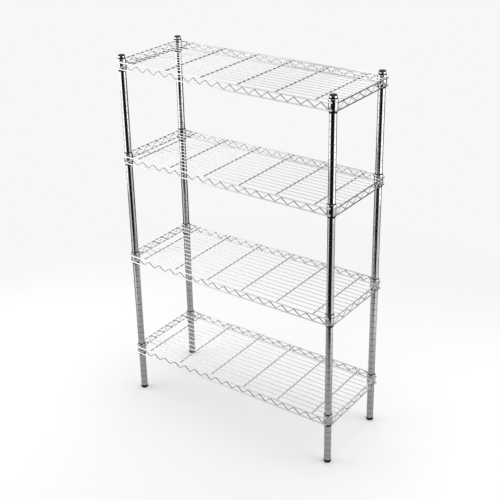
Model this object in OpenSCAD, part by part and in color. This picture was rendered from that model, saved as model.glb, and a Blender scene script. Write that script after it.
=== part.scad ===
// Four-shelf wire shelving unit: grooved tube posts, split taper sleeves,
// and welded wire shelves whose corner collars drop down onto the sleeves.
// Millimetres, +Z up. The origin is on the floor, midway between the four posts.
// Long side along X, depth along Y, front towards -Y.

/* [Shelf] */
// Overall length of a shelf, over its end rails
shelf_w = 914.4; // [600:0.1:1200]
// Overall depth of a shelf, over its long rails
shelf_d = 355.6; // [300:0.1:600]
// Spacing of the deck wires, and half the period of the side trusses
wire_pitch = 25.2; // [22:0.1:30]
// Deck wires between two cross wires
deck_per_cross = 6; // [4:2:8]
// Diameter of the rails round the shelf
rail_wire_d = 4.8; // [4:0.1:6]
// Height between the axes of the upper and lower rails
rail_spacing = 25; // [20:0.5:30]
// Diameter of the bent truss wire between the rails
truss_wire_d = 3.5; // [2.5:0.1:4]
// Radius of the truss wire's bends, at its axis
truss_bend_r = 4; // [3:0.1:4.5]
// Diameter of the wires across the shelf, under the deck
cross_wire_d = 4.5; // [3:0.1:4.8]
// Diameter of the deck wires
deck_wire_d = 3; // [2:0.1:4]
// How far a rail runs past the axis of the collar it is welded to
rail_past_collar = 6; // [2:0.5:8]
// Clear space between the outer cross wires and the collars, at least
cross_to_collar = 10; // [4:1:20]

/* [Collar] */
// Outside diameter of a corner collar
collar_d = 32.6; // [32:0.1:36]
// Height of a corner collar
collar_h = 38; // [36:0.5:44]
// Height of the drawn-in shoulder at the top of a collar
collar_shoulder_h = 4.5; // [2:0.5:6]
// How far the shoulder is drawn in, on the radius
collar_shoulder_in = 1; // [0.4:0.1:1.2]
// Height of the lower rail's axis above the bottom of the collar
lower_rail_up = 2.4; // [2.4:0.1:8]

/* [Sleeve] */
// Height of a split sleeve
sleeve_h = 47.6; // [46:0.1:52]
// Wall of the sleeve at the top of its taper
sleeve_top_t = 1.05; // [0.9:0.05:1.25]
// Wall of the sleeve at the foot of its taper
sleeve_foot_t = 1.6; // [1.35:0.05:1.75]
// Wall of the lip that shows under the collar
sleeve_lip_t = 1.85; // [1.75:0.05:2.7]
// Height of the lip
sleeve_lip_h = 6.8; // [3:0.1:7]
// Height of the collar's bottom edge above the bottom of the sleeve
collar_up = 7.1; // [7:0.1:8]
// Height of the rib that snaps into a groove, above the bottom of the sleeve
rib_up = 23; // [15:0.5:30]
// Gap between the two halves of a sleeve, in degrees
split_angle = 2.4; // [1:0.1:4]
// Height of the tongue that locks one half to the other
tongue_h = 7; // [4:0.5:10]
// Thickness of the tongue
tongue_t = 0.7; // [0.5:0.05:0.8]
// Reach of the tongue round the post, in degrees
tongue_angle = 8; // [5:0.5:12]

/* [Post] */
// Length of a post tube
post_len = 1371.6; // [1270:25.4:1676.4]
// Outside diameter of a post
post_d = 25.4; // [25.2:0.05:25.6]
// Wall of the post tube
post_wall = 1.2; // [0.9:0.1:1.6]
// Spacing of the rolled grooves
groove_pitch = 25.4; // [25.4:0.1:26.2]
// Height of the first groove above the bottom end of the tube
first_groove_up = 19; // [16:0.5:24]
// Depth of a groove
groove_depth = 0.45; // [0.35:0.05:0.6]
// Width of a groove at the surface
groove_w = 1.5; // [1.4:0.1:3]
// Least length of plain tube above the last groove
plain_top = 20; // [15:1:40]

/* [Levels] */
// Grooves left free above the one that carries the top shelf
grooves_above_top = 0; // [0:1:2]
// Grooves from the top shelf down to the third shelf
drop_to_third = 14; // [10:1:14]
// Grooves from the third shelf down to the second shelf
drop_to_second = 16; // [10:1:16]
// Grooves from the second shelf down to the bottom shelf
drop_to_bottom = 16; // [10:1:17]

/* [Foot and cap] */
// Thickness of the cap that shows above the post
cap_t = 3; // [2:0.5:5]
// Diameter of the cap
cap_d = 24.6; // [24:0.1:25.2]
// Length of the cap's plug inside the tube
cap_plug_h = 14; // [8:1:20]
// Wall of the cap's plug
cap_plug_wall = 1.5; // [1:0.1:3]
// Thickness of the insert's flange under the tube
insert_flange_t = 2.5; // [1.5:0.1:4]
// Diameter of the insert's flange
insert_flange_d = 25.6; // [25:0.1:26.2]
// Length of the insert inside the tube
insert_plug_h = 20; // [14:1:30]
// Height of the levelling foot's pad
pad_h = 8.2; // [6:0.1:12]
// Largest diameter of the pad
pad_d = 26.6; // [25.5:0.1:30]
// Radius of the pad's lower edge
pad_round = 3; // [1:0.1:4]
// Radius of the pad's upper edge
pad_top_round = 1.2; // [0.4:0.1:2]
// Diameter of the levelling stud
stud_d = 8; // [6:0.1:10]
// Length of stud that stands above the pad
stud_reach = 22; // [20:1:30]
// Depth of stud moulded into the pad
stud_in_pad = 6; // [3:0.2:7]
// Chamfer at the stud's upper end
stud_chamfer = 0.8; // [0.4:0.1:1.2]

/* [Fits] */
// Clearance between a collar's bore and its sleeve, on the radius
seat_gap = 0.3; // [0.25:0.05:0.4]
// Clearance between a sleeve and the post it grips, on the radius
grip_gap = 0.05; // [0.02:0.01:0.08]
// Clearance between the rib and the floor of its groove
rib_gap = 0.1; // [0.05:0.05:0.2]
// Clearance round the tongue in its slot
tongue_gap = 0.3; // [0.2:0.05:0.5]
// Clearance between a plug and the bore of the tube, on the radius
plug_gap = 0.05; // [0.02:0.01:0.08]
// Clearance between the stud and the insert's thread, on the radius
thread_gap = 0.1; // [0.05:0.01:0.1]
// Clearance between the pad and the insert with the foot screwed home
pad_gap = 0.3; // [0.2:0.05:0.5]

/* [Hidden] */
LEVELS = [1, 2, 3, 4];
CORNERS = [
    ["front_left", -1, -1],
    ["front_right", 1, -1],
    ["back_left", -1, 1],
    ["back_right", 1, 1]
];
SHELF_PARTS = ["collars", "rails", "trusses", "cross_wires", "deck_wires"];

chrome = [0.78, 0.79, 0.8];
wire_chrome = [0.86, 0.87, 0.88];
black = [0.07, 0.07, 0.075];
zinc = [0.62, 0.63, 0.64];

round_fn = 72;
wire_fn = 24;
bend_fn = 48;
edge_steps = 5;

post_r = post_d / 2;
bore_r = post_r - post_wall;
collar_r = collar_d / 2;
rail_r = rail_wire_d / 2;
truss_r = truss_wire_d / 2;
cross_r = cross_wire_d / 2;
deck_r = deck_wire_d / 2;
stud_r = stud_d / 2;
pad_r = pad_d / 2;
sleeve_bore_r = post_r + grip_gap;
sleeve_top_r = sleeve_bore_r + sleeve_top_t;
sleeve_foot_r = sleeve_bore_r + sleeve_foot_t;
sleeve_lip_r = sleeve_bore_r + sleeve_lip_t;

// Post axes, set in from the shelf's outer edge by a rail and half a collar
post_x = shelf_w / 2 - rail_wire_d - collar_r;
post_y = shelf_d / 2 - rail_wire_d - collar_r;
rail_x = shelf_w / 2 - rail_r;
rail_y = shelf_d / 2 - rail_r;

// Heights from the floor
flange_z = pad_h + pad_gap;
post_z = flange_z + insert_flange_t;
post_top_z = post_z + post_len;
groove_half = groove_w / 2;
groove_floor_half = groove_half - groove_depth;
groove_count = 1 + floor((post_len - first_groove_up - plain_top) / groove_pitch);
top_groove = groove_count - 1 - grooves_above_top;
level_grooves = [
    top_groove - drop_to_third - drop_to_second - drop_to_bottom,
    top_groove - drop_to_third - drop_to_second,
    top_groove - drop_to_third,
    top_groove
];
function groove_z(n) = post_z + first_groove_up + n * groove_pitch;
function sleeve_z(level) = groove_z(level_grooves[level - 1]) - rib_up;
function collar_z(level) = sleeve_z(level) + collar_up;
function lower_rail_z(level) = collar_z(level) + lower_rail_up;
function upper_rail_z(level) = lower_rail_z(level) + rail_spacing;
function rail_top_z(level) = upper_rail_z(level) + rail_r;

// The collar's bore follows the sleeve's taper, one seat gap outside it
taper_slope = (sleeve_foot_t - sleeve_top_t) / (sleeve_h - sleeve_lip_h);
function sleeve_r(up) = sleeve_foot_r - taper_slope * (up - sleeve_lip_h);
collar_bore_foot_r = sleeve_r(collar_up) + seat_gap;
collar_bore_top_r = sleeve_r(collar_up + collar_h) + seat_gap;

// Wires that repeat with the pitch: deck wires, cross wires and truss bends
deck_side = floor((rail_y - rail_r - deck_r) / wire_pitch);
cross_pitch = deck_per_cross * wire_pitch;
cross_room = post_x - collar_r - cross_to_collar - cross_r;
cross_side = floor(cross_room / cross_pitch + 0.5);
long_bends = floor((floor(post_x / wire_pitch) + 1) / 2) * 2 - 1;
end_bends = floor(floor(post_y / wire_pitch) / 2) * 2;

// Truss wire: alternate bends joined by the straight line that is tangent to both
apex_rise = rail_spacing - rail_wire_d - truss_wire_d;
bend_rise = apex_rise - 2 * truss_bend_r;
bend_span = sqrt(wire_pitch * wire_pitch + bend_rise * bend_rise);
truss_lean = atan(bend_rise / wire_pitch) + asin(2 * truss_bend_r / bend_span);
stroke_run = sqrt(bend_span * bend_span - 4 * truss_bend_r * truss_bend_r);
// A stroke is a hair thinner than a bend and reaches a little way into it
stroke_relief = 0.03;
stroke_sink = 0.2;

function arc(cx, cy, r, from, to) = [
    for (i = [0:edge_steps])
        let (a = from + (to - from) * i / edge_steps)
            [cx + r * cos(a), cy + r * sin(a)]
];

// Puts what is drawn at the origin on one post's axis
module at_corner(corner, z = 0) {
    translate([corner[1] * post_x, corner[2] * post_y, z])
        children();
}

// A straight round wire along X, centred on x = 0
module wire_x(len, r) {
    rotate([0, 90, 0])
        cylinder(r = r, h = len, center = true, $fn = wire_fn);
}

// A straight round wire along Y, centred on y = 0
module wire_y(len, r) {
    rotate([90, 0, 0])
        cylinder(r = r, h = len, center = true, $fn = wire_fn);
}

// Tube with a rolled groove every inch, open at both ends
module post(corner) {
    outline = concat(
        [[bore_r, 0], [post_r, 0]],
        [
            for (n = [0:groove_count - 1])
                let (z = first_groove_up + n * groove_pitch)
                    each [
                        [post_r, z - groove_half],
                        [post_r - groove_depth, z - groove_floor_half],
                        [post_r - groove_depth, z + groove_floor_half],
                        [post_r, z + groove_half]
                    ]
        ],
        [[post_r, post_len], [bore_r, post_len]]
    );
    color(chrome)
        at_corner(corner, post_z)
            rotate_extrude($fn = round_fn)
                polygon(outline);
}

// Push-in cap: a flat disc with a rounded rim on a hollow plug
module cap(corner) {
    rim = cap_t / 2;
    plug_r = bore_r - plug_gap;
    outline = concat(
        [[0, 0], [plug_r - cap_plug_wall, 0], [plug_r - cap_plug_wall, -cap_plug_h]],
        [[plug_r - plug_gap, -cap_plug_h], [plug_r, -cap_plug_h * 0.8], [plug_r, 0]],
        arc(cap_d / 2 - rim, rim, rim, -90, 90),
        [[0, cap_t]]
    );
    color(black)
        at_corner(corner, post_top_z)
            rotate_extrude($fn = round_fn)
                polygon(outline);
}

// Threaded insert pressed into the bottom of the tube, with a flange under it
module insert(corner) {
    plug_r = bore_r - plug_gap;
    thread_r = stud_r + thread_gap;
    lead = 1;
    outline = [
        [thread_r, 0],
        [insert_flange_d / 2, 0],
        [insert_flange_d / 2, insert_flange_t],
        [plug_r, insert_flange_t],
        [plug_r, insert_flange_t + insert_plug_h - lead],
        [plug_r - lead, insert_flange_t + insert_plug_h],
        [thread_r, insert_flange_t + insert_plug_h]
    ];
    color(black)
        at_corner(corner, flange_z)
            rotate_extrude($fn = round_fn)
                polygon(outline);
}

// Levelling foot: a rounded pad moulded round the head end of its stud
module foot(corner) {
    socket_z = pad_h - stud_in_pad;
    outline = concat(
        [[0, 0]],
        arc(pad_r - pad_round, pad_round, pad_round, -90, 0),
        arc(pad_r - pad_top_round, pad_h - pad_top_round, pad_top_round, 0, 90),
        [[stud_r, pad_h], [stud_r, socket_z], [0, socket_z]]
    );
    color(black)
        at_corner(corner)
            rotate_extrude($fn = round_fn)
                polygon(outline);
}

// Stud of the levelling foot, running up into the insert
module stud(corner) {
    len = stud_in_pad + stud_reach;
    outline = [
        [0, 0],
        [stud_r, 0],
        [stud_r, len - stud_chamfer],
        [stud_r - stud_chamfer, len],
        [0, len]
    ];
    color(zinc)
        at_corner(corner, pad_h - stud_in_pad)
            rotate_extrude($fn = round_fn)
                polygon(outline);
}

// One half of a split sleeve. The tongue at one edge locks into the other half's slot.
module sleeve_half() {
    rib_reach = post_r - groove_depth + rib_gap;
    rib_foot_half = groove_half - rib_gap;
    rib_tip_half = groove_floor_half - rib_gap;
    shell = [
        [sleeve_bore_r, 0],
        [sleeve_lip_r, 0],
        [sleeve_lip_r, sleeve_lip_h],
        [sleeve_foot_r, sleeve_lip_h],
        [sleeve_top_r, sleeve_h],
        [sleeve_bore_r, sleeve_h],
        [sleeve_bore_r, rib_up + rib_foot_half],
        [rib_reach, rib_up + rib_tip_half],
        [rib_reach, rib_up - rib_tip_half],
        [sleeve_bore_r, rib_up - rib_foot_half]
    ];
    tongue_root = 4;
    tongue_r = sleeve_bore_r + tongue_gap / 2;
    slot_h = tongue_h + 2 * tongue_gap;
    slot_out = sleeve_lip_r + 1;
    slot_in = sleeve_bore_r - 1;
    difference() {
        union() {
            rotate([0, 0, split_angle / 2])
                rotate_extrude(angle = 180 - split_angle, $fn = round_fn)
                    polygon(shell);
            rotate([0, 0, -tongue_angle])
                translate([0, 0, rib_up - tongue_h / 2])
                    rotate_extrude(angle = tongue_angle + tongue_root, $fn = round_fn)
                        translate([tongue_r, 0])
                            square([tongue_t, tongue_h]);
        }
        rotate([0, 0, 180 - tongue_angle - split_angle])
            translate([0, 0, rib_up - slot_h / 2])
                rotate_extrude(angle = tongue_angle + 2 * split_angle, $fn = round_fn)
                    translate([slot_in, 0])
                        square([slot_out - slot_in, slot_h]);
    }
}

// A sleeve: two like halves snapped round the post, ribs in the groove
module sleeve(level, corner) {
    color(black)
        at_corner(corner, sleeve_z(level))
            for (turn = [0, 180])
                rotate([0, 0, turn])
                    sleeve_half();
}

// Four corner collars, bored to the sleeve's taper, with a drawn-in shoulder
module collars(level) {
    outline = [
        [collar_bore_foot_r, 0],
        [collar_r, 0],
        [collar_r, collar_h - collar_shoulder_h],
        [collar_r - collar_shoulder_in, collar_h],
        [collar_bore_top_r, collar_h]
    ];
    color(chrome)
        for (c = CORNERS)
            at_corner(c, collar_z(level))
                rotate_extrude($fn = round_fn)
                    polygon(outline);
}

// Upper and lower rails on all four sides, welded to the outside of the collars
module rails(level) {
    long = 2 * (post_x + rail_past_collar);
    short = 2 * (post_y + rail_past_collar);
    color(wire_chrome)
        for (z = [lower_rail_z(level), upper_rail_z(level)], side = [-1, 1]) {
            translate([0, side * rail_y, z])
                wire_x(long, rail_r);
            translate([side * rail_x, 0, z])
                wire_y(short, rail_r);
        }
}

// One bend of a truss wire, from angle from to angle to about its own centre
module truss_bend(k, up, from, to) {
    translate([k * wire_pitch, 0, up * bend_rise / 2])
        rotate([90, 0, 0])
            rotate([0, 0, from])
                rotate_extrude(angle = to - from, $fn = bend_fn)
                    translate([truss_bend_r, 0])
                        circle(r = truss_r, $fn = wire_fn);
}

// The straight stroke that leaves bend k towards bend k + 1
module truss_stroke(k, up) {
    translate([k * wire_pitch, 0, up * bend_rise / 2])
        rotate([0, up * truss_lean, 0])
            translate([-stroke_sink, 0, up * truss_bend_r])
                rotate([0, 90, 0])
                    cylinder(r = truss_r - stroke_relief, h = stroke_run + 2 * stroke_sink,
                             $fn = wire_fn);
}

// A truss wire along X: bends touch the upper and lower rails in turn, and both
// ends finish flat on the lower rail
module truss(bends) {
    function side_of(k) = (k + bends) % 2 == 0 ? -1 : 1;
    union() {
        for (k = [-bends:bends - 1])
            truss_stroke(k, side_of(k));
        for (k = [-bends + 1:bends - 1])
            let (middle = side_of(k) * 90)
                truss_bend(k, side_of(k), middle - truss_lean, middle + truss_lean);
        truss_bend(-bends, -1, -90, -90 + truss_lean);
        truss_bend(bends, -1, -90 - truss_lean, -90);
    }
}

// Four truss wires, one between each pair of rails
module trusses(level) {
    z = (lower_rail_z(level) + upper_rail_z(level)) / 2;
    color(wire_chrome)
        for (side = [-1, 1]) {
            translate([0, side * rail_y, z])
                truss(long_bends);
            translate([side * rail_x, 0, z])
                rotate([0, 0, 90])
                    truss(end_bends);
        }
}

// Cross wires from long rail to long rail, level with the tops of the rails
module cross_wires(level) {
    color(wire_chrome)
        for (k = [1:cross_side], side = [-1, 1])
            translate([side * (k - 0.5) * cross_pitch, 0, rail_top_z(level) - cross_r])
                wire_y(2 * (rail_y - rail_r), cross_r);
}

// Half the length of the deck wire at distance y from the middle of the shelf:
// out to the edge, or to the wall of a collar that stands in the way
function deck_reach(y) =
    let (off = max(0, abs(post_y - abs(y)) - deck_r))
        abs(post_y - abs(y)) < collar_r + deck_r
            ? post_x - sqrt(collar_r * collar_r - off * off)
            : rail_x + rail_r;

// Deck wires along the shelf, lying on the cross wires and the end rails
module deck_wires(level) {
    color(wire_chrome)
        for (k = [-deck_side:deck_side])
            translate([0, k * wire_pitch, rail_top_z(level) + deck_r])
                wire_x(2 * deck_reach(k * wire_pitch), deck_r);
}

for (c = CORNERS) {
    post(c);
    cap(c);
    insert(c);
    foot(c);
    stud(c);
}
for (l = LEVELS, c = CORNERS)
    sleeve(l, c);
for (l = LEVELS) {
    collars(l);
    rails(l);
    trusses(l);
    cross_wires(l);
    deck_wires(l);
}
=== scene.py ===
import math

import bmesh
import bpy
from mathutils import Matrix, Vector


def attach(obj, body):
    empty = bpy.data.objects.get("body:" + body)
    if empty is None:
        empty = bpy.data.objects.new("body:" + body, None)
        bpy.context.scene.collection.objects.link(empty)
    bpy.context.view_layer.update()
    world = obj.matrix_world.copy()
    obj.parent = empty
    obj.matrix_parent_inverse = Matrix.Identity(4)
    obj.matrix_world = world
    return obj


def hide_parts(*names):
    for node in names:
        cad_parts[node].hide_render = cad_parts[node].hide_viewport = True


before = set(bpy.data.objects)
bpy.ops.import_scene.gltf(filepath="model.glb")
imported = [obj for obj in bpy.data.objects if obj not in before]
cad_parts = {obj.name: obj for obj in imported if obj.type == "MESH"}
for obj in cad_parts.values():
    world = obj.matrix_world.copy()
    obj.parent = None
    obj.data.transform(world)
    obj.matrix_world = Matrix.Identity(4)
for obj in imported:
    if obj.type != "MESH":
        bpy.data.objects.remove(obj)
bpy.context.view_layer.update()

# The viewpoint: a standing person's view from the front right, looking down on the shelves.
# A small lens shift sets the unit in the middle of the picture.
eye = Vector((1.98713, -2.75827, 2.3293))
turn, dip, tilt = (math.radians(a) for a in (35.438, 24.2088, -0.937))
back = Vector((math.sin(turn) * math.cos(dip), -math.cos(turn) * math.cos(dip), math.sin(dip)))
level_right = (-back).cross(Vector((0, 0, 1))).normalized()
level_up = level_right.cross(-back)
right = math.cos(tilt) * level_right + math.sin(tilt) * level_up
up = math.cos(tilt) * level_up - math.sin(tilt) * level_right

lens = bpy.data.cameras.new("studio_camera")
lens.sensor_width = 36
lens.lens = 1019.83 / 500 * 36
lens.shift_x = -0.012
lens.shift_y = -0.064
camera = bpy.data.objects.new("studio_camera", lens)
camera.matrix_world = Matrix.Translation(eye) @ Matrix((right, up, back)).transposed().to_4x4()
bpy.context.scene.collection.objects.link(camera)
bpy.context.scene.camera = camera
bpy.context.scene.view_settings.view_transform = "Standard"


# The studio: a white paper floor that fades into a white surround.
# Broad soft lamps hang left, right and above. Dark cloths on the floor and two dark curtains show only
# in reflections: they draw the black line down each chromed post and darken the cross wires.
FLOOR_R, MAT_R, CLOTH_INNER, CLOTH_REACH = 1.9, 1.4, 0.7, 4.6
MAT_Z, CLOTH_Z = 0.002, 0.004
FRONT_CURTAIN_TOP, REAR_CURTAIN_TOP = 4.2, 5.6
LAMP_AIM = Vector((0, 0, 0.65))
SURROUND_WHITE, ROOM_LIGHT, SEEN_LIGHT = 0.93, 0.68, 1.0


def node_tree(owner):
    owner.use_nodes = True
    owner.node_tree.nodes.clear()
    return owner.node_tree.nodes, owner.node_tree.links


def radial_share(nodes, links, near, far):
    place = nodes.new("ShaderNodeTexCoord")
    length = nodes.new("ShaderNodeVectorMath")
    length.operation = "LENGTH"
    share = nodes.new("ShaderNodeMapRange")
    share.interpolation_type = "SMOOTHSTEP"
    share.inputs["From Min"].default_value = near
    share.inputs["From Max"].default_value = far
    links.new(place.outputs["Object"], length.inputs[0])
    links.new(length.outputs["Value"], share.inputs["Value"])
    return share.outputs["Result"]


def cloth_finish(name, colour, near, far, clear_outside):
    """A matt cloth that fades to nothing between two distances from the middle, outwards or inwards."""
    material = bpy.data.materials.new(name)
    nodes, links = node_tree(material)
    matt = nodes.new("ShaderNodeBsdfDiffuse")
    matt.inputs["Color"].default_value = (*colour, 1)
    clear = nodes.new("ShaderNodeBsdfTransparent")
    fade = nodes.new("ShaderNodeMixShader")
    out = nodes.new("ShaderNodeOutputMaterial")
    inside, outside = (matt, clear) if clear_outside else (clear, matt)
    links.new(radial_share(nodes, links, near, far), fade.inputs["Fac"])
    links.new(inside.outputs[0], fade.inputs[1])
    links.new(outside.outputs[0], fade.inputs[2])
    links.new(fade.outputs[0], out.inputs["Surface"])
    return material


def lay_down(name, shape, finish, only_reflected):
    """Puts a shape in the studio. One that is only reflected neither shows nor shades anything."""
    mesh = bpy.data.meshes.new(name)
    shape.to_mesh(mesh)
    shape.free()
    mesh.materials.append(finish)
    cloth = bpy.data.objects.new(name, mesh)
    bpy.context.scene.collection.objects.link(cloth)
    if only_reflected:
        cloth.visible_camera = False
        cloth.visible_diffuse = False
        cloth.visible_transmission = False
        cloth.visible_shadow = False


def disc(radius, sides, height):
    shape = bmesh.new()
    bmesh.ops.create_circle(shape, cap_ends=True, segments=sides, radius=radius)
    bmesh.ops.translate(shape, verts=shape.verts, vec=(0, 0, height))
    return shape


white_paper = cloth_finish("white_paper", (0.92, 0.92, 0.92), 0.9, 1.85, True)
dark_curtain = cloth_finish("dark_curtain", (0.012, 0.012, 0.013), 0.7, 1.4, False)
grey_cloth = cloth_finish("grey_cloth", (0.50, 0.50, 0.51), 0.85, 1.35, True)
lay_down("paper_floor", disc(FLOOR_R, 96, 0), white_paper, False)


def curtain(name, around, spread, height=0):
    """A dark cloth on the floor, at an angle round from the viewpoint. With a height its far edge turns up."""
    facing, spread = towards_eye + math.radians(around), math.radians(spread)
    shape = bmesh.new()
    line = [shape.verts.new(p) for p in ((CLOTH_INNER, 0, CLOTH_Z), (CLOTH_REACH, 0, CLOTH_Z))]
    if height:
        line.append(shape.verts.new((CLOTH_REACH, 0, height)))
    edges = [shape.edges.new(pair) for pair in zip(line, line[1:])]
    bmesh.ops.rotate(shape, verts=line, cent=(0, 0, 0), matrix=Matrix.Rotation(facing - spread / 2, 3, "Z"))
    bmesh.ops.spin(shape, geom=line + edges, cent=(0, 0, 0), axis=(0, 0, 1), angle=spread, steps=24)
    lay_down(name, shape, dark_curtain, True)


towards_eye = math.atan2(back.y, back.x)
curtain("front_curtain", -9, 90, FRONT_CURTAIN_TOP)
curtain("rear_curtain", 110, 17, REAR_CURTAIN_TOP)
curtain("right_cloth", 146, 55)
curtain("rear_cloth", 218, 88)
lay_down("grey_mat", disc(MAT_R, 64, MAT_Z), grey_cloth, True)


def soft_lamp(name, around, distance, height, width, tall, watts):
    """A broad lamp at an angle round the unit from the viewpoint, aimed at its middle."""
    light = bpy.data.lights.new(name, "AREA")
    light.shape = "RECTANGLE"
    light.size, light.size_y = width, tall
    light.energy = watts
    angle = towards_eye + math.radians(around)
    place = Vector((distance * math.cos(angle), distance * math.sin(angle), height))
    lamp = bpy.data.objects.new(name, light)
    aim = (LAMP_AIM - place).to_track_quat("-Z", "Y")
    lamp.matrix_world = Matrix.Translation(place) @ aim.to_matrix().to_4x4()
    lamp.visible_camera = False
    bpy.context.scene.collection.objects.link(lamp)


soft_lamp("right_lamp", 68, 2.1, 1.15, 1.7, 2.2, 17)
soft_lamp("left_lamp", -98, 2.1, 1.15, 2.3, 2.2, 23)
soft_lamp("top_lamp", 140, 0.6, 3.6, 2.0, 2.0, 34)

surround = bpy.data.worlds.new("white_surround")
bpy.context.scene.world = surround
nodes, links = node_tree(surround)
path = nodes.new("ShaderNodeLightPath")
seen = nodes.new("ShaderNodeMath")
seen.operation = "MAXIMUM"
seen_or_through = nodes.new("ShaderNodeMath")
seen_or_through.operation = "MAXIMUM"
strength = nodes.new("ShaderNodeMapRange")
strength.inputs["To Min"].default_value = ROOM_LIGHT
strength.inputs["To Max"].default_value = SEEN_LIGHT
glow = nodes.new("ShaderNodeBackground")
glow.inputs["Color"].default_value = (SURROUND_WHITE, SURROUND_WHITE, SURROUND_WHITE, 1)
out = nodes.new("ShaderNodeOutputWorld")
links.new(path.outputs["Is Camera Ray"], seen.inputs[0])
links.new(path.outputs["Is Glossy Ray"], seen.inputs[1])
links.new(seen.outputs[0], seen_or_through.inputs[0])
links.new(path.outputs["Is Transmission Ray"], seen_or_through.inputs[1])
links.new(seen_or_through.outputs[0], strength.inputs["Value"])
links.new(strength.outputs["Result"], glow.inputs["Strength"])
links.new(glow.outputs[0], out.inputs["Surface"])


# Four posts of one inch steel tube, chrome plated over a polished surface.
# A shallow groove is rolled in every inch, and a thin dark line is painted in it as painted shade in the recess.
CORNERS = {"front_left": (-1, -1), "front_right": (1, -1), "back_left": (-1, 1), "back_right": (1, 1)}
POST_X, POST_Y = 436.1, 156.7
POST_R, BORE_R = 12.7, 11.5
POST_FOOT, POST_LEN = 11.0, 1371.6
GROOVE_UP, GROOVE_PITCH, GROOVES = 19.0, 25.4, 53
HALF_GROOVE = [(0.2, 0.45), (0.36, 0.38), (0.7, 0.04), (0.8, 0), (1.6, 0)]
GROOVE_SHAPE = [(-up_by, depth) for up_by, depth in reversed(HALF_GROOVE)] + HALF_GROOVE


def stretched_noise(nodes, links, stretch, detail, roughness=0.55):
    """Noise on the piece's own place, in metres, drawn out along whichever axis has the small number."""
    place = nodes.new("ShaderNodeTexCoord")
    mapping = nodes.new("ShaderNodeMapping")
    mapping.inputs["Scale"].default_value = stretch
    noise = nodes.new("ShaderNodeTexNoise")
    noise.inputs["Scale"].default_value = 1.0
    noise.inputs["Detail"].default_value = detail
    noise.inputs["Roughness"].default_value = roughness
    links.new(place.outputs["Object"], mapping.inputs["Vector"])
    links.new(mapping.outputs["Vector"], noise.inputs["Vector"])
    return noise.outputs["Fac"]


def spread_over(nodes, links, source, low, high, start=0.3, end=0.7):
    share = nodes.new("ShaderNodeMapRange")
    share.inputs["From Min"].default_value = start
    share.inputs["From Max"].default_value = end
    share.inputs["To Min"].default_value = low
    share.inputs["To Max"].default_value = high
    links.new(source, share.inputs["Value"])
    return share.outputs["Result"]


def colour_between(nodes, links, share, first, second):
    mix = nodes.new("ShaderNodeMix")
    mix.data_type = "RGBA"
    mix.inputs["A"].default_value = (*first, 1)
    mix.inputs["B"].default_value = (*second, 1)
    links.new(share, mix.inputs["Factor"])
    return mix.outputs["Result"]


def chrome(name, colour, shade, polish, dull, streaks, groove_painted_shade=False):
    """Chrome plate: cloudy polish, fine polishing streaks, a few dull rubbed patches, and on the posts a painted
    shade line in each groove.
    """
    material = bpy.data.materials.new(name)
    nodes, links = node_tree(material)
    plate = nodes.new("ShaderNodeBsdfPrincipled")
    out = nodes.new("ShaderNodeOutputMaterial")
    plate.inputs["Metallic"].default_value = 1.0
    cloud = stretched_noise(nodes, links, (26, 26, 26), 4.0)
    base = colour_between(nodes, links, spread_over(nodes, links, cloud, 0, 1), colour, shade)
    # Painted shade: a thin dark line painted along each groove, standing in for the shade in the recess.
    if groove_painted_shade:
        place = nodes.new("ShaderNodeTexCoord")
        split = nodes.new("ShaderNodeSeparateXYZ")
        steps = nodes.new("ShaderNodeMath")
        steps.operation = "PINGPONG"
        steps.inputs[1].default_value = GROOVE_PITCH / 2000
        shift = nodes.new("ShaderNodeMath")
        shift.operation = "SUBTRACT"
        shift.inputs[1].default_value = (POST_FOOT + GROOVE_UP) / 1000
        links.new(place.outputs["Object"], split.inputs[0])
        links.new(split.outputs["Z"], shift.inputs[0])
        links.new(shift.outputs[0], steps.inputs[0])
        line = spread_over(nodes, links, steps.outputs[0], 1, 0, 0.0005, 0.0010)
        shaded_groove = nodes.new("ShaderNodeMix")
        shaded_groove.data_type = "RGBA"
        shaded_groove.inputs["B"].default_value = (0.05, 0.048, 0.045, 1)
        links.new(line, shaded_groove.inputs["Factor"])
        links.new(base, shaded_groove.inputs["A"])
        base = shaded_groove.outputs["Result"]
    rubbed = stretched_noise(nodes, links, (90, 90, 40), 5.0, 0.7)
    rough = spread_over(nodes, links, rubbed, polish, dull, 0.45, 0.8)
    grain = stretched_noise(nodes, links, streaks, 2.0)
    bump = nodes.new("ShaderNodeBump")
    bump.inputs["Strength"].default_value = 0.12
    bump.inputs["Distance"].default_value = 0.00004
    links.new(grain, bump.inputs["Height"])
    links.new(base, plate.inputs["Base Color"])
    links.new(rough, plate.inputs["Roughness"])
    links.new(bump.outputs["Normal"], plate.inputs["Normal"])
    links.new(plate.outputs[0], out.inputs["Surface"])
    return material


CREASE = math.radians(35)


def turned(outline, sides):
    """Turns an outline of (radius, height) points round the upright axis. On the axis it stays open."""
    shape = bmesh.new()
    line = [shape.verts.new((r, 0, z)) for r, z in outline]
    pairs = list(zip(line, line[1:]))
    if outline[0][0] > 0:
        pairs.append((line[-1], line[0]))
    edges = [shape.edges.new(pair) for pair in pairs]
    bmesh.ops.spin(shape, geom=line + edges, cent=(0, 0, 0), axis=(0, 0, 1), angle=2 * math.pi, steps=sides,
                   use_merge=True)
    bmesh.ops.remove_doubles(shape, verts=shape.verts, dist=0.001)
    return shape


def piece(name, shape, body, finish, stands_for):
    """Makes a shape drawn in millimetres into a finished piece that rides on a CAD body."""
    bmesh.ops.scale(shape, vec=(0.001, 0.001, 0.001), verts=shape.verts)
    bmesh.ops.recalc_face_normals(shape, faces=shape.faces)
    for face in shape.faces:
        face.smooth = True
    mesh = bpy.data.meshes.new(name)
    shape.to_mesh(mesh)
    shape.free()
    mesh.set_sharp_from_angle(angle=CREASE)
    mesh.materials.append(finish)
    thing = bpy.data.objects.new(name, mesh)
    bpy.context.scene.collection.objects.link(thing)
    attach(thing, body)
    if stands_for:
        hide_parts(*stands_for)


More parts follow.
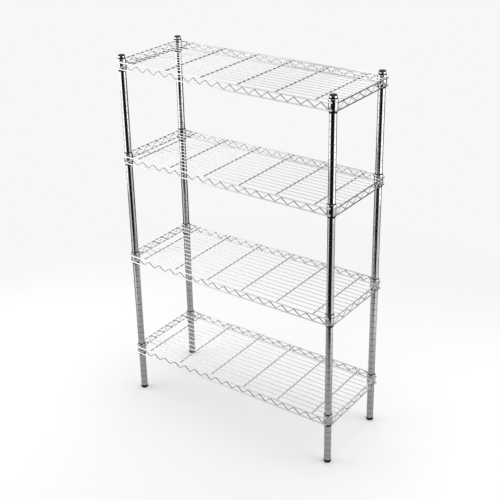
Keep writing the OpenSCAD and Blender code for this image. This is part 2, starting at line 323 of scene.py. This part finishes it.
post_finish = chrome("post_chrome", (0.60, 0.61, 0.62), (0.54, 0.55, 0.56), 0.05, 0.16, (700, 700, 22), True)
post_outline = [(BORE_R, 0), (POST_R - 0.25, 0), (POST_R, 0.3)]
for n in range(GROOVES):
    middle = GROOVE_UP + n * GROOVE_PITCH
    post_outline += [(POST_R - depth, middle + up_by) for up_by, depth in GROOVE_SHAPE]
post_outline += [(POST_R, POST_LEN - 0.3), (POST_R - 0.25, POST_LEN), (BORE_R, POST_LEN)]


def at_every_corner(shape, height, label, node, body, finish):
    """Puts a copy of a shape on each post's axis, as that corner's piece in place of its CAD node."""
    for corner, (sx, sy) in CORNERS.items():
        copy = shape.copy()
        bmesh.ops.translate(copy, verts=copy.verts, vec=(sx * POST_X, sy * POST_Y, height))
        piece(f"{label}_{corner}", copy, body.format(corner), finish, [f"{node}_{corner}"])
    shape.free()


at_every_corner(turned(post_outline, 48), POST_FOOT, "post_tube", "post", "frame", post_finish)


# A moulded black cap closes the top of each post: a disc with a rounded rim on a hollow plug.
# Below, a nylon insert with a flange closes the foot of the tube and carries the foot's thread.
CAP_R, CAP_T, CAP_PLUG = 12.3, 3.0, 14.0


def moulded_black(name, colour, worn, smooth, matt_level, grain_size):
    """Satin black moulding: a fine spark-eroded grain, with paler scuffs where hands and cartons rub."""
    material = bpy.data.materials.new(name)
    nodes, links = node_tree(material)
    plastic = nodes.new("ShaderNodeBsdfPrincipled")
    out = nodes.new("ShaderNodeOutputMaterial")
    plastic.inputs["IOR"].default_value = 1.45
    plastic.inputs["Specular IOR Level"].default_value = 0.1
    scuffs = stretched_noise(nodes, links, (160, 160, 160), 6.0, 0.7)
    share = spread_over(nodes, links, scuffs, 0, 1, 0.58, 0.78)
    grain = stretched_noise(nodes, links, (grain_size,) * 3, 2.0)
    bump = nodes.new("ShaderNodeBump")
    bump.inputs["Strength"].default_value = 0.3
    bump.inputs["Distance"].default_value = 0.00006
    links.new(colour_between(nodes, links, share, colour, worn), plastic.inputs["Base Color"])
    links.new(spread_over(nodes, links, scuffs, smooth, matt_level), plastic.inputs["Roughness"])
    links.new(grain, bump.inputs["Height"])
    links.new(bump.outputs["Normal"], plastic.inputs["Normal"])
    links.new(plastic.outputs[0], out.inputs["Surface"])
    return material


cap_finish = moulded_black("black_cap", (0.004, 0.004, 0.0045), (0.016, 0.016, 0.017), 0.38, 0.55, 2200)
rim = CAP_T / 2
cap_outline = [(0, 0), (BORE_R - 1.55, 0), (BORE_R - 1.55, -CAP_PLUG), (BORE_R - 0.4, -CAP_PLUG)]
cap_outline += [(BORE_R - 0.05, -CAP_PLUG * 0.8), (BORE_R - 0.05, 0)]
for step in range(9):
    angle = math.radians(-90 + step * 22.5)
    cap_outline.append((CAP_R - rim + rim * math.cos(angle), rim + rim * math.sin(angle)))
cap_outline += [(4.0, CAP_T - 0.02), (3.4, CAP_T - 0.25), (0, CAP_T - 0.3)]
at_every_corner(turned(cap_outline, 64), POST_FOOT + POST_LEN, "post_cap", "cap", "frame", cap_finish)

nylon_finish = moulded_black("black_nylon", (0.014, 0.014, 0.015), (0.04, 0.04, 0.042), 0.4, 0.6, 1500)
for corner in CORNERS:
    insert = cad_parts[f"insert_{corner}"]
    insert.data.materials.clear()
    insert.data.materials.append(nylon_finish)


# A levelling foot under each post: a rounded black pad moulded on a zinc plated M8 stud.
# It screws up into the insert, so only the pad shows until the foot is run down.
PAD_R, PAD_H, PAD_LOW, PAD_TOP = 13.3, 8.2, 3.0, 1.2
STUD_R, STUD_FOOT, STUD_TOP, THREAD = 4.0, 2.2, 30.2, 1.25

foot_finish = moulded_black("black_foot", (0.004, 0.004, 0.004), (0.024, 0.023, 0.021), 0.45, 0.65, 1300)
pad_outline = [(0, 0)]
for low, high, radius, middle_r, middle_z in ((-90, 0, PAD_LOW, PAD_R - PAD_LOW, PAD_LOW),
                                              (0, 90, PAD_TOP, PAD_R - PAD_TOP, PAD_H - PAD_TOP)):
    for step in range(7):
        angle = math.radians(low + (high - low) * step / 6)
        pad_outline.append((middle_r + radius * math.cos(angle), middle_z + radius * math.sin(angle)))
pad_outline += [(6.8, PAD_H), (6.4, PAD_H - 0.3), (STUD_R + 0.02, PAD_H - 0.3), (STUD_R + 0.02, STUD_FOOT)]
pad_outline.append((0, STUD_FOOT))


def zinc_plate(name):
    """Bright zinc on a rolled thread, with a faint warm and cool cloud in the plating."""
    material = bpy.data.materials.new(name)
    nodes, links = node_tree(material)
    plate = nodes.new("ShaderNodeBsdfPrincipled")
    out = nodes.new("ShaderNodeOutputMaterial")
    plate.inputs["Metallic"].default_value = 1.0
    cloud = stretched_noise(nodes, links, (240, 240, 240), 4.0)
    share = spread_over(nodes, links, cloud, 0, 1)
    tint = colour_between(nodes, links, share, (0.56, 0.57, 0.60), (0.60, 0.58, 0.53))
    links.new(tint, plate.inputs["Base Color"])
    links.new(spread_over(nodes, links, cloud, 0.28, 0.45), plate.inputs["Roughness"])
    links.new(plate.outputs[0], out.inputs["Surface"])
    return material


zinc_finish = zinc_plate("zinc_steel")
stud_outline = [(0, STUD_FOOT), (STUD_R - 0.6, STUD_FOOT), (STUD_R - 0.6, PAD_H - 0.2), (STUD_R, PAD_H - 0.1)]
turns = int((STUD_TOP - 1.4 - PAD_H) / THREAD)
for n in range(turns):
    start = PAD_H + n * THREAD
    stud_outline += [(STUD_R, start + 0.1), (STUD_R - 0.62, start + 0.62)]
    stud_outline += [(STUD_R - 0.62, start + 0.76), (STUD_R, start + 1.2)]
stud_outline += [(STUD_R, STUD_TOP - 0.8), (STUD_R - 0.8, STUD_TOP), (0, STUD_TOP)]
at_every_corner(turned(pad_outline, 64), 0, "foot_pad", "foot", "leveller_{}", foot_finish)
at_every_corner(turned(stud_outline, 24), 0, "foot_stud", "stud", "leveller_{}", zinc_finish)


# Sixteen split sleeves of black plastic, two halves each, that snap into a groove of the post.
# They taper upwards, so the weight of a shelf wedges its collars tight. Only their rings show.
sleeve_finish = moulded_black("black_sleeve", (0.004, 0.004, 0.0045), (0.013, 0.013, 0.014), 0.4, 0.55, 1800)
for level in (1, 2, 3, 4):
    for corner in CORNERS:
        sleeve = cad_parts[f"sleeve_{level}_{corner}"]
        sleeve.data.materials.clear()
        sleeve.data.materials.append(sleeve_finish)


# Each shelf has a pressed collar at every corner, chromed with the shelf after welding.
# Its bore tapers with the sleeve, and its upper edge is drawn in to a rounded shoulder.
SLEEVE_Z = [159.4, 565.8, 972.2, 1327.8]
COLLAR_UP, COLLAR_H, COLLAR_R = 7.1, 38.0, 16.3
COLLAR_BORE_LOW, COLLAR_BORE_TOP = 14.65, 14.14

collar_finish = chrome("collar_chrome", (0.60, 0.61, 0.62), (0.53, 0.54, 0.55), 0.04, 0.11, (500, 500, 60))
collar_outline = [(COLLAR_BORE_LOW, 0.4), (COLLAR_BORE_LOW + 0.35, 0)]
collar_outline += [(COLLAR_R - 0.5, 0), (COLLAR_R - 0.14, 0.15), (COLLAR_R, 0.6)]
for step in range(7):
    angle = math.radians(step * 15)
    collar_outline.append((COLLAR_R - 1.0 + 1.0 * math.cos(angle), COLLAR_H - 4.5 + 4.5 * math.sin(angle)))
collar_outline += [(COLLAR_BORE_TOP + 0.3, COLLAR_H), (COLLAR_BORE_TOP, COLLAR_H - 0.3)]


def add_in(shape, part, place):
    """Moves a part to its place and makes it one with a shape."""
    bmesh.ops.translate(part, verts=part.verts, vec=place)
    mesh = bpy.data.meshes.new("part")
    part.to_mesh(mesh)
    part.free()
    shape.from_mesh(mesh)
    bpy.data.meshes.remove(mesh)


def on_every_level(shape, label, node, finish):
    """Puts a copy of a shape, drawn with its sleeves' feet at z = 0, on each of the four shelves."""
    for level, sleeve_z in enumerate(SLEEVE_Z, 1):
        copy = shape.copy()
        bmesh.ops.translate(copy, verts=copy.verts, vec=(0, 0, sleeve_z))
        stands_for = [f"shelf_{level}_{node}"] if node else ()
        piece(f"shelf_{level}_{label}", copy, f"shelf_{level}", finish, stands_for)
    shape.free()


collars = bmesh.new()
for sx, sy in CORNERS.values():
    add_in(collars, turned(collar_outline, 64), (sx * POST_X, sy * POST_Y, COLLAR_UP))
on_every_level(collars, "corner_collars", "collars", collar_finish)


# The shelf itself is drawn steel wire, welded and then chromed: two rails on each side,
# six thick wires from front to back, and thirteen thin deck wires that run the length on top.
# The chrome is the same on all of them. The rails and the deck are given a paler colour as a painted highlight,
# and the bent wire of the truss a darker one as painted shade. So the rails come out brightest, the truss dullest,
# and the deck satin, as it is also rougher.
RAIL_X, RAIL_Y, RAIL_R = 454.8, 175.4, 2.4
LONG_RAIL, END_RAIL = 884.2, 325.4
RAIL_HEIGHTS = (9.5, 34.5)
RAIL_TOP = 36.9
CROSS_R, CROSS_AT, CROSS_LEN = 2.25, (-378, -226.8, -75.6, 75.6, 226.8, 378), 346.0
DECK_R, WIRE_PITCH, DECK_LEN, SHORT_DECK_LEN = 1.5, 25.2, 914.4, 840.6

wire_finish = chrome("wire_chrome", (0.60, 0.61, 0.62), (0.53, 0.54, 0.55), 0.06, 0.18, (300, 300, 300))
# Painted highlight in the rail and deck colours and painted shade in the truss colour: one chrome in three
# brightnesses.
rail_painted_bright = chrome("rail_chrome_painted_bright", (0.76, 0.77, 0.78), (0.68, 0.69, 0.70), 0.06, 0.18, (300, 300, 300))
truss_painted_dark = chrome("truss_chrome_painted_dark", (0.44, 0.45, 0.46), (0.38, 0.39, 0.40), 0.06, 0.16, (300, 300, 300))
deck_painted_bright = chrome("deck_chrome_painted_bright", (0.80, 0.81, 0.82), (0.72, 0.73, 0.74), 0.18, 0.32, (300, 300, 300))


def add_wire(shape, length, radius, along, place, sides):
    """Adds a straight wire with softened ends to a shape, along X or Y and centred on its place."""
    half, soft = length / 2, radius * 0.3
    outline = [(0, -half), (radius - soft, -half), (radius, soft - half)]
    outline += [(radius, half - soft), (radius - soft, half), (0, half)]
    wire = turned(outline, sides)
    lay = Matrix.Rotation(math.pi / 2, 3, "Y" if along == "X" else "X")
    bmesh.ops.rotate(wire, verts=wire.verts, cent=(0, 0, 0), matrix=lay)
    add_in(shape, wire, place)


rails = bmesh.new()
for height in RAIL_HEIGHTS:
    for side in (-1, 1):
        add_wire(rails, LONG_RAIL, RAIL_R, "X", (0, side * RAIL_Y, height), 18)
        add_wire(rails, END_RAIL, RAIL_R, "Y", (side * RAIL_X, 0, height), 18)
on_every_level(rails, "side_rails", "rails", rail_painted_bright)

cross = bmesh.new()
for x in CROSS_AT:
    add_wire(cross, CROSS_LEN, CROSS_R, "Y", (x, 0, RAIL_TOP - CROSS_R), 16)
on_every_level(cross, "cross_bearers", "cross_wires", wire_finish)

deck = bmesh.new()
for k in range(-6, 7):
    length = SHORT_DECK_LEN if abs(k) == 6 else DECK_LEN
    add_wire(deck, length, DECK_R, "X", (0, k * WIRE_PITCH, RAIL_TOP + DECK_R), 14)
on_every_level(deck, "deck", "deck_wires", deck_painted_bright)


# Between the two rails of each side runs one wire bent up and down, a truss that stiffens them.
# It touches the upper rail at every peak and the lower rail at every valley, and is welded there.
TRUSS_R, BEND_R, TRUSS_RISE = 1.75, 4.0, 16.7
LONG_BENDS, END_BENDS = 17, 6
bend_rise = TRUSS_RISE - 2 * BEND_R
bend_span = math.hypot(WIRE_PITCH, bend_rise)
lean = math.atan2(bend_rise, WIRE_PITCH) + math.asin(2 * BEND_R / bend_span)
stroke = math.sqrt(bend_span ** 2 - 4 * BEND_R ** 2)
rail_middle = sum(RAIL_HEIGHTS) / 2


def truss_wire(bends):
    """One bent wire along X, in the plane y = 0, centred on z = 0. Its ends are flat valleys."""
    shape = bmesh.new()
    valley = -TRUSS_RISE / 2 + BEND_R
    peak = TRUSS_RISE / 2 - BEND_R
    ring = bmesh.ops.create_circle(shape, segments=12, radius=TRUSS_R)["verts"]
    bmesh.ops.rotate(shape, verts=ring, cent=(0, 0, 0), matrix=Matrix.Rotation(math.pi / 2, 3, "Y"))
    bmesh.ops.translate(shape, verts=ring, vec=(-bends * WIRE_PITCH, 0, valley - BEND_R))
    front = shape.edges[:]
    for k in range(-bends, bends + 1):
        low = (k + bends) % 2 == 0
        centre = (k * WIRE_PITCH, 0, valley if low else peak)
        swing = lean if abs(k) == bends else 2 * lean
        made = bmesh.ops.spin(shape, geom=front, cent=centre, axis=(0, -1 if low else 1, 0), angle=swing,
                              steps=8 if abs(k) < bends else 4)
        front = [e for e in made["geom_last"] if isinstance(e, bmesh.types.BMEdge)]
        if k < bends:
            made = bmesh.ops.extrude_edge_only(shape, edges=front)
            moved = [v for v in made["geom"] if isinstance(v, bmesh.types.BMVert)]
            run = (stroke * math.cos(lean), 0, stroke * math.sin(lean) * (1 if low else -1))
            bmesh.ops.translate(shape, verts=moved, vec=run)
            run_edges = [e for e in made["geom"] if isinstance(e, bmesh.types.BMEdge)]
            front = [e for e in run_edges if all(v in moved for v in e.verts)]
    bmesh.ops.holes_fill(shape, edges=[e for e in shape.edges if e.is_boundary], sides=0)
    return shape


trusses = bmesh.new()
for side in (-1, 1):
    add_in(trusses, truss_wire(LONG_BENDS), (0, side * RAIL_Y, rail_middle))
    shape = truss_wire(END_BENDS)
    bmesh.ops.rotate(shape, verts=shape.verts, cent=(0, 0, 0), matrix=Matrix.Rotation(math.pi / 2, 3, "Z"))
    add_in(trusses, shape, (side * RAIL_X, 0, rail_middle))
on_every_level(trusses, "truss_wires", "trusses", truss_painted_dark)


# Every crossing is a resistance weld: the wires sink into each other a little and a small
# smooth swelling of metal shows round the joint, chromed over with the rest.
weld_finish = chrome("weld_chrome", (0.64, 0.65, 0.66), (0.50, 0.51, 0.52), 0.16, 0.34, (600, 600, 600))


def add_weld(shape, size, place):
    knob = bmesh.ops.create_uvsphere(shape, u_segments=8, v_segments=4, radius=1)["verts"]
    bmesh.ops.scale(shape, vec=size, verts=knob)
    bmesh.ops.translate(shape, vec=place, verts=knob)


welds = bmesh.new()
for k in range(-6, 7):
    across = k * WIRE_PITCH
    for x in CROSS_AT:
        add_weld(welds, (1.9, 1.7, 0.8), (x, across, RAIL_TOP))
    for side in (-1, 1):
        if abs(k) < 6:
            add_weld(welds, (1.9, 1.8, 0.8), (side * RAIL_X, across, RAIL_TOP))
        else:
            add_weld(welds, (1.2, 2.1, 2.1), (side * (SHORT_DECK_LEN / 2 - 1.2), across, RAIL_TOP + DECK_R - 0.6))
for side in (-1, 1):
    for x in CROSS_AT:
        add_weld(welds, (2.9, 1.1, 2.2), (x, side * (RAIL_Y - RAIL_R), RAIL_TOP - CROSS_R - 0.1))
    for bends, along_x in ((LONG_BENDS, True), (END_BENDS, False)):
        for k in range(-bends, bends + 1):
            low = (k + bends) % 2 == 0
            height = RAIL_HEIGHTS[0] + RAIL_R if low else RAIL_HEIGHTS[1] - RAIL_R
            place = (k * WIRE_PITCH, side * RAIL_Y, height) if along_x else (side * RAIL_X, k * WIRE_PITCH, height)
            add_weld(welds, (2.3, 1.5, 0.7) if along_x else (1.5, 2.3, 0.7), place)
    for other in (-1, 1):
        for height in RAIL_HEIGHTS:
            add_weld(welds, (4.5, 0.8, 1.9), (other * POST_X, side * (RAIL_Y - RAIL_R), height))
            add_weld(welds, (0.8, 4.5, 1.9), (side * (RAIL_X - RAIL_R), other * POST_Y, height))
on_every_level(welds, "welds", None, weld_finish)
